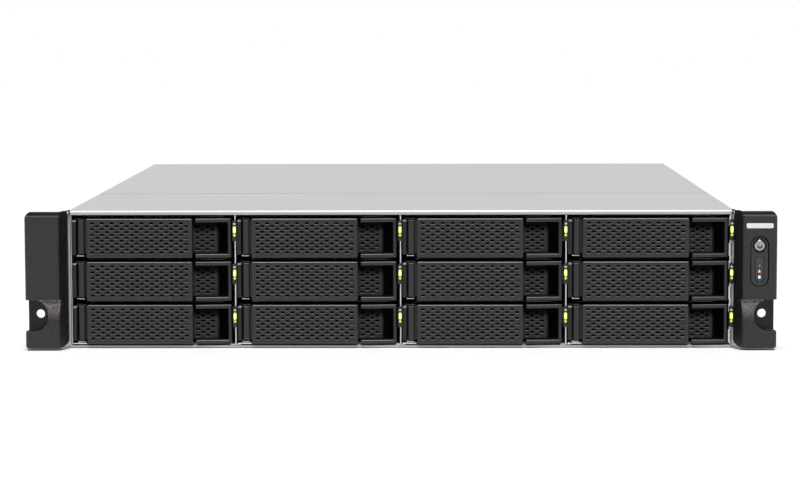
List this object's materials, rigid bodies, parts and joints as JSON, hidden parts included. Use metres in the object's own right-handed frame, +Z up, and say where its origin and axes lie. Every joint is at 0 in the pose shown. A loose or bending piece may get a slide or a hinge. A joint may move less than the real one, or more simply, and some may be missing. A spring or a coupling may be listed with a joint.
{
  "type": "rack-mount network storage unit",
  "caption": "Flat rack-mount storage unit with rows of perforated drive trays, plastic ears, a sliding top cover and power supplies at the rear.",
  "frame": {"origin": "centre of the unit's footprint, on the plane it rests on", "axes": "+Y runs from the drive fronts to the power supplies, +X to the right seen from the front, +Z up"},
  "size_m": [0.4826, 0.56, 0.0894],
  "materials": {
    "case_steel": "fine grey powder coat with a slight sheen",
    "zinc_steel": "zinc-plated sheet steel",
    "ear_plastic": "fine-grained dark plastic",
    "tray_plastic": "dark satin plastic",
    "tray_metal": "dark satin coat over a metal drive carrier",
    "gloss_inlay": "glossy black",
    "window_plastic": "smoked window",
    "button_chrome": "polished, with a satin rim",
    "fan_plastic": "black moulded plastic",
    "circuit_board": "green solder mask",
    "heatsink_aluminium": "extruded aluminium",
    "supply_metal": "zinc-plated housing",
    "release_plastic": "green moulded tab"
  },
  "bodies": {
    "case": {"case_base": "case_steel", "front_top_plate": "case_steel", "rear_panel": "case_steel", "drive_cage": "zinc_steel", "backplane_board": "circuit_board", "left_rack_bracket": "zinc_steel", "right_rack_bracket": "zinc_steel", "left_ear_cover": "ear_plastic", "right_ear_cover": "ear_plastic", "control_inlay": "gloss_inlay", "status_window": "window_plastic", "fan_wall": "fan_plastic", "main_board": "circuit_board", "cpu_heatsink": "heatsink_aluminium", "psu_cage": "zinc_steel"},
    "cover": {"top_cover": "case_steel"},
    "button": {"power_button": "button_chrome"},
    "supply_1": {"power_supply_1": "supply_metal"},
    "supply_1_tab": {"power_supply_1_latch": "release_plastic"},
    "supply_2": {"power_supply_2": "supply_metal"},
    "supply_2_tab": {"power_supply_2_latch": "release_plastic"},
    "fan_1": {"fan_rotor_1": "fan_plastic"},
    "fan_2": {"fan_rotor_2": "fan_plastic"},
    "fan_3": {"fan_rotor_3": "fan_plastic"},
    "tray_01": {"tray_01_carrier": "tray_metal"},
    "tray_01_handle": {"tray_01_lever": "tray_plastic"},
    "tray_01_release": {"tray_01_latch": "tray_plastic"},
    "tray_02": {"tray_02_carrier": "tray_metal"},
    "tray_02_handle": {"tray_02_lever": "tray_plastic"},
    "tray_02_release": {"tray_02_latch": "tray_plastic"},
    "tray_03": {"tray_03_carrier": "tray_metal"},
    "tray_03_handle": {"tray_03_lever": "tray_plastic"},
    "tray_03_release": {"tray_03_latch": "tray_plastic"},
    "tray_04": {"tray_04_carrier": "tray_metal"},
    "tray_04_handle": {"tray_04_lever": "tray_plastic"},
    "tray_04_release": {"tray_04_latch": "tray_plastic"},
    "tray_05": {"tray_05_carrier": "tray_metal"},
    "tray_05_handle": {"tray_05_lever": "tray_plastic"},
    "tray_05_release": {"tray_05_latch": "tray_plastic"},
    "tray_06": {"tray_06_carrier": "tray_metal"},
    "tray_06_handle": {"tray_06_lever": "tray_plastic"},
    "tray_06_release": {"tray_06_latch": "tray_plastic"},
    "tray_07": {"tray_07_carrier": "tray_metal"},
    "tray_07_handle": {"tray_07_lever": "tray_plastic"},
    "tray_07_release": {"tray_07_latch": "tray_plastic"},
    "tray_08": {"tray_08_carrier": "tray_metal"},
    "tray_08_handle": {"tray_08_lever": "tray_plastic"},
    "tray_08_release": {"tray_08_latch": "tray_plastic"},
    "tray_09": {"tray_09_carrier": "tray_metal"},
    "tray_09_handle": {"tray_09_lever": "tray_plastic"},
    "tray_09_release": {"tray_09_latch": "tray_plastic"},
    "tray_10": {"tray_10_carrier": "tray_metal"},
    "tray_10_handle": {"tray_10_lever": "tray_plastic"},
    "tray_10_release": {"tray_10_latch": "tray_plastic"},
    "tray_11": {"tray_11_carrier": "tray_metal"},
    "tray_11_handle": {"tray_11_lever": "tray_plastic"},
    "tray_11_release": {"tray_11_latch": "tray_plastic"},
    "tray_12": {"tray_12_carrier": "tray_metal"},
    "tray_12_handle": {"tray_12_lever": "tray_plastic"},
    "tray_12_release": {"tray_12_latch": "tray_plastic"}
  },
  "joints": [
    {"name": "cover_slide", "type": "slide", "parent": "case", "child": "cover", "axis": [0, 1, 0], "range_m": [0, 0.362]},
    {"name": "button_press", "type": "slide", "parent": "case", "child": "button", "axis": [0, 1, 0], "range_m": [0, 0.0012], "stiffness_N_per_m": 1500},
    {"name": "supply_1_slide", "type": "slide", "parent": "case", "child": "supply_1", "axis": [0, 1, 0], "range_m": [0, 0.19]},
    {"name": "supply_1_tab_press", "type": "slide", "parent": "supply_1", "child": "supply_1_tab", "axis": [-1, 0, 0], "range_m": [0, 0.003], "stiffness_N_per_m": 900},
    {"name": "supply_2_slide", "type": "slide", "parent": "case", "child": "supply_2", "axis": [0, 1, 0], "range_m": [0, 0.19]},
    {"name": "supply_2_tab_press", "type": "slide", "parent": "supply_2", "child": "supply_2_tab", "axis": [-1, 0, 0], "range_m": [0, 0.003], "stiffness_N_per_m": 900},
    {"name": "fan_1_spin", "type": "hinge", "parent": "case", "child": "fan_1", "pos_m": [-0.135, -0.05, 0.0444], "axis": [0, 1, 0], "continuous": true},
    {"name": "fan_2_spin", "type": "hinge", "parent": "case", "child": "fan_2", "pos_m": [0, -0.05, 0.0444], "axis": [0, 1, 0], "continuous": true},
    {"name": "fan_3_spin", "type": "hinge", "parent": "case", "child": "fan_3", "pos_m": [0.135, -0.05, 0.0444], "axis": [0, 1, 0], "continuous": true},
    {"name": "tray_01_slide", "type": "slide", "parent": "case", "child": "tray_01", "axis": [0, -1, 0], "range_m": [0, 0.17]},
    {"name": "tray_01_handle_swing", "type": "hinge", "parent": "tray_01", "child": "tray_01_handle", "pos_m": [-0.2069, -0.263, 0.071], "axis": [0, 0, -1], "range_deg": [0, 60]},
    {"name": "tray_01_release_slide", "type": "slide", "parent": "tray_01", "child": "tray_01_release", "axis": [1, 0, 0], "range_m": [0, 0.003], "stiffness_N_per_m": 300},
    {"name": "tray_02_slide", "type": "slide", "parent": "case", "child": "tray_02", "axis": [0, -1, 0], "range_m": [0, 0.17]},
    {"name": "tray_02_handle_swing", "type": "hinge", "parent": "tray_02", "child": "tray_02_handle", "pos_m": [-0.1, -0.263, 0.071], "axis": [0, 0, -1], "range_deg": [0, 60]},
    {"name": "tray_02_release_slide", "type": "slide", "parent": "tray_02", "child": "tray_02_release", "axis": [1, 0, 0], "range_m": [0, 0.003], "stiffness_N_per_m": 300},
    {"name": "tray_03_slide", "type": "slide", "parent": "case", "child": "tray_03", "axis": [0, -1, 0], "range_m": [0, 0.17]},
    {"name": "tray_03_handle_swing", "type": "hinge", "parent": "tray_03", "child": "tray_03_handle", "pos_m": [0.0069, -0.263, 0.071], "axis": [0, 0, -1], "range_deg": [0, 60]},
    {"name": "tray_03_release_slide", "type": "slide", "parent": "tray_03", "child": "tray_03_release", "axis": [1, 0, 0], "range_m": [0, 0.003], "stiffness_N_per_m": 300},
    {"name": "tray_04_slide", "type": "slide", "parent": "case", "child": "tray_04", "axis": [0, -1, 0], "range_m": [0, 0.17]},
    {"name": "tray_04_handle_swing", "type": "hinge", "parent": "tray_04", "child": "tray_04_handle", "pos_m": [0.1138, -0.263, 0.071], "axis": [0, 0, -1], "range_deg": [0, 60]},
    {"name": "tray_04_release_slide", "type": "slide", "parent": "tray_04", "child": "tray_04_release", "axis": [1, 0, 0], "range_m": [0, 0.003], "stiffness_N_per_m": 300},
    {"name": "tray_05_slide", "type": "slide", "parent": "case", "child": "tray_05", "axis": [0, -1, 0], "range_m": [0, 0.17]},
    {"name": "tray_05_handle_swing", "type": "hinge", "parent": "tray_05", "child": "tray_05_handle", "pos_m": [-0.2069, -0.263, 0.043], "axis": [0, 0, -1], "range_deg": [0, 60]},
    {"name": "tray_05_release_slide", "type": "slide", "parent": "tray_05", "child": "tray_05_release", "axis": [1, 0, 0], "range_m": [0, 0.003], "stiffness_N_per_m": 300},
    {"name": "tray_06_slide", "type": "slide", "parent": "case", "child": "tray_06", "axis": [0, -1, 0], "range_m": [0, 0.17]},
    {"name": "tray_06_handle_swing", "type": "hinge", "parent": "tray_06", "child": "tray_06_handle", "pos_m": [-0.1, -0.263, 0.043], "axis": [0, 0, -1], "range_deg": [0, 60]},
    {"name": "tray_06_release_slide", "type": "slide", "parent": "tray_06", "child": "tray_06_release", "axis": [1, 0, 0], "range_m": [0, 0.003], "stiffness_N_per_m": 300},
    {"name": "tray_07_slide", "type": "slide", "parent": "case", "child": "tray_07", "axis": [0, -1, 0], "range_m": [0, 0.17]},
    {"name": "tray_07_handle_swing", "type": "hinge", "parent": "tray_07", "child": "tray_07_handle", "pos_m": [0.0069, -0.263, 0.043], "axis": [0, 0, -1], "range_deg": [0, 60]},
    {"name": "tray_07_release_slide", "type": "slide", "parent": "tray_07", "child": "tray_07_release", "axis": [1, 0, 0], "range_m": [0, 0.003], "stiffness_N_per_m": 300},
    {"name": "tray_08_slide", "type": "slide", "parent": "case", "child": "tray_08", "axis": [0, -1, 0], "range_m": [0, 0.17]},
    {"name": "tray_08_handle_swing", "type": "hinge", "parent": "tray_08", "child": "tray_08_handle", "pos_m": [0.1138, -0.263, 0.043], "axis": [0, 0, -1], "range_deg": [0, 60]},
    {"name": "tray_08_release_slide", "type": "slide", "parent": "tray_08", "child": "tray_08_release", "axis": [1, 0, 0], "range_m": [0, 0.003], "stiffness_N_per_m": 300},
    {"name": "tray_09_slide", "type": "slide", "parent": "case", "child": "tray_09", "axis": [0, -1, 0], "range_m": [0, 0.17]},
    {"name": "tray_09_handle_swing", "type": "hinge", "parent": "tray_09", "child": "tray_09_handle", "pos_m": [-0.2069, -0.263, 0.015], "axis": [0, 0, -1], "range_deg": [0, 60]},
    {"name": "tray_09_release_slide", "type": "slide", "parent": "tray_09", "child": "tray_09_release", "axis": [1, 0, 0], "range_m": [0, 0.003], "stiffness_N_per_m": 300},
    {"name": "tray_10_slide", "type": "slide", "parent": "case", "child": "tray_10", "axis": [0, -1, 0], "range_m": [0, 0.17]},
    {"name": "tray_10_handle_swing", "type": "hinge", "parent": "tray_10", "child": "tray_10_handle", "pos_m": [-0.1, -0.263, 0.015], "axis": [0, 0, -1], "range_deg": [0, 60]},
    {"name": "tray_10_release_slide", "type": "slide", "parent": "tray_10", "child": "tray_10_release", "axis": [1, 0, 0], "range_m": [0, 0.003], "stiffness_N_per_m": 300},
    {"name": "tray_11_slide", "type": "slide", "parent": "case", "child": "tray_11", "axis": [0, -1, 0], "range_m": [0, 0.17]},
    {"name": "tray_11_handle_swing", "type": "hinge", "parent": "tray_11", "child": "tray_11_handle", "pos_m": [0.0069, -0.263, 0.015], "axis": [0, 0, -1], "range_deg": [0, 60]},
    {"name": "tray_11_release_slide", "type": "slide", "parent": "tray_11", "child": "tray_11_release", "axis": [1, 0, 0], "range_m": [0, 0.003], "stiffness_N_per_m": 300},
    {"name": "tray_12_slide", "type": "slide", "parent": "case", "child": "tray_12", "axis": [0, -1, 0], "range_m": [0, 0.17]},
    {"name": "tray_12_handle_swing", "type": "hinge", "parent": "tray_12", "child": "tray_12_handle", "pos_m": [0.1138, -0.263, 0.015], "axis": [0, 0, -1], "range_deg": [0, 60]},
    {"name": "tray_12_release_slide", "type": "slide", "parent": "tray_12", "child": "tray_12_release", "axis": [1, 0, 0], "range_m": [0, 0.003], "stiffness_N_per_m": 300}
  ]
}
